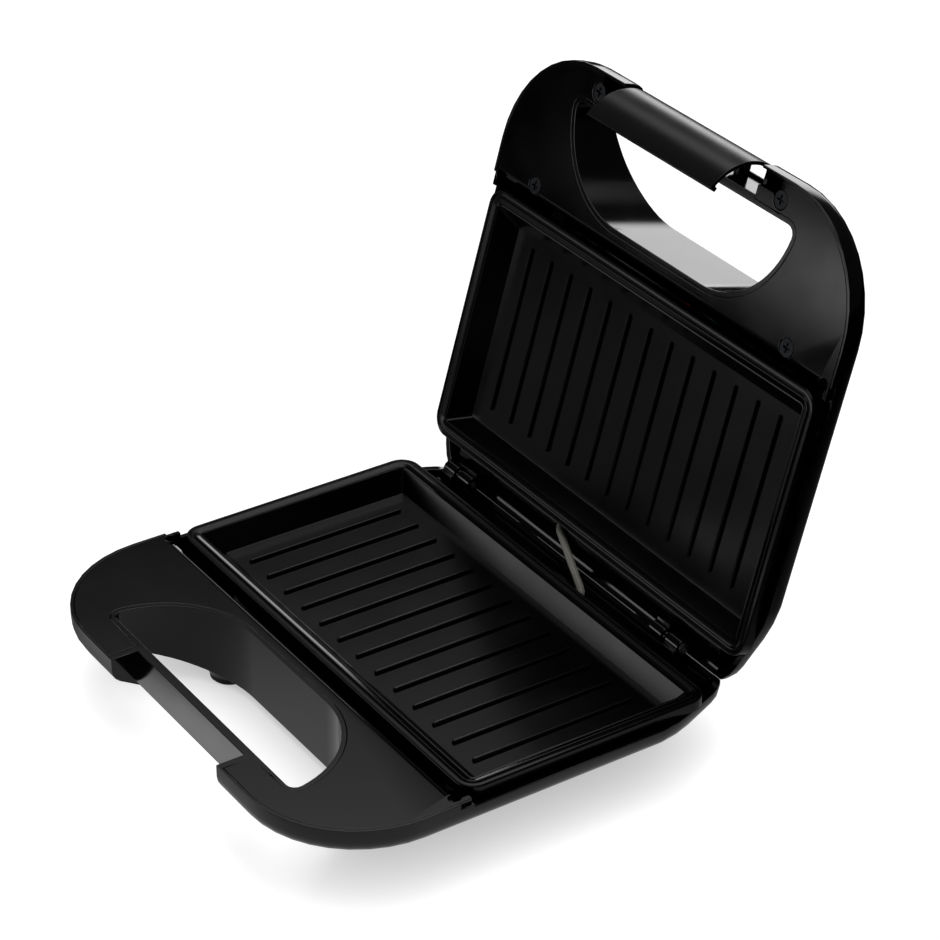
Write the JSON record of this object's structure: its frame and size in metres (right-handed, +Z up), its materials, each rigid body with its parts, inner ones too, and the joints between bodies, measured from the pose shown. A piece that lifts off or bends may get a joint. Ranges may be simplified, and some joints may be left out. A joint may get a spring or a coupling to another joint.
{
  "type": "sandwich toaster",
  "caption": "Countertop sandwich toaster: hinged lid and base with ribbed grill plates, D-shaped hand openings and a clip latch that snaps over the base's handle.",
  "frame": {"origin": "middle of the open toaster's outline, on the surface that the feet stand on", "axes": "+X along the hinge, to the right of someone who stands at the handles and faces the hinge; +Y from the handles to the hinge; +Z up. Shown with the lid open."},
  "size_m": [0.242, 0.2798, 0.2377],
  "materials": {
    "shell": "gloss",
    "cover": "satin",
    "clip": "gloss",
    "plate": "non-stick coating, satin",
    "heater": "satin",
    "sheet_steel": "satin",
    "reflector": "satin",
    "ceramic": "matte",
    "fuse": "satin",
    "wire": "satin",
    "rubber": "matte",
    "sleeve": "braided",
    "dark_screw": "satin",
    "red_lens": "clear",
    "green_lens": "clear",
    "lamp": "clear"
  },
  "bodies": {
    "base": {"base_shell": "shell", "base_cover": "cover", "lower_plate": "plate", "lower_heater": "heater", "lower_heater_clips": "sheet_steel", "lower_reflector": "reflector", "lower_plate_screws": "sheet_steel", "thermostat": "ceramic", "thermal_fuse": "fuse", "terminal_block": "ceramic", "lower_wiring": "wire", "inlet_bush": "rubber", "base_screws": "sheet_steel", "feet": "rubber", "hinge_pins": "sheet_steel", "lead_sleeve": "sleeve"},
    "lid": {"lid_shell": "shell", "lid_cover": "cover", "upper_plate": "plate", "upper_heater": "heater", "upper_heater_clips": "sheet_steel", "upper_reflector": "reflector", "upper_plate_screws": "sheet_steel", "upper_wiring": "wire", "lid_screws": "dark_screw", "power_lens": "red_lens", "ready_lens": "green_lens", "neon_lamps": "lamp", "latch_rod": "sheet_steel"},
    "latch": {"latch_clip": "clip"}
  },
  "joints": [
    {"name": "lid_hinge", "type": "hinge", "parent": "base", "child": "lid", "pos_m": [0, 0.0653, 0.0404], "axis": [1, 0, 0], "range_deg": [0, 105.9], "deforming": ["lead_sleeve"]},
    {"name": "latch_pivot", "type": "hinge", "parent": "lid", "child": "latch", "pos_m": [0, 0.12924, 0.22765], "axis": [-1, 0, 0], "range_deg": [0, 35]}
  ]
}
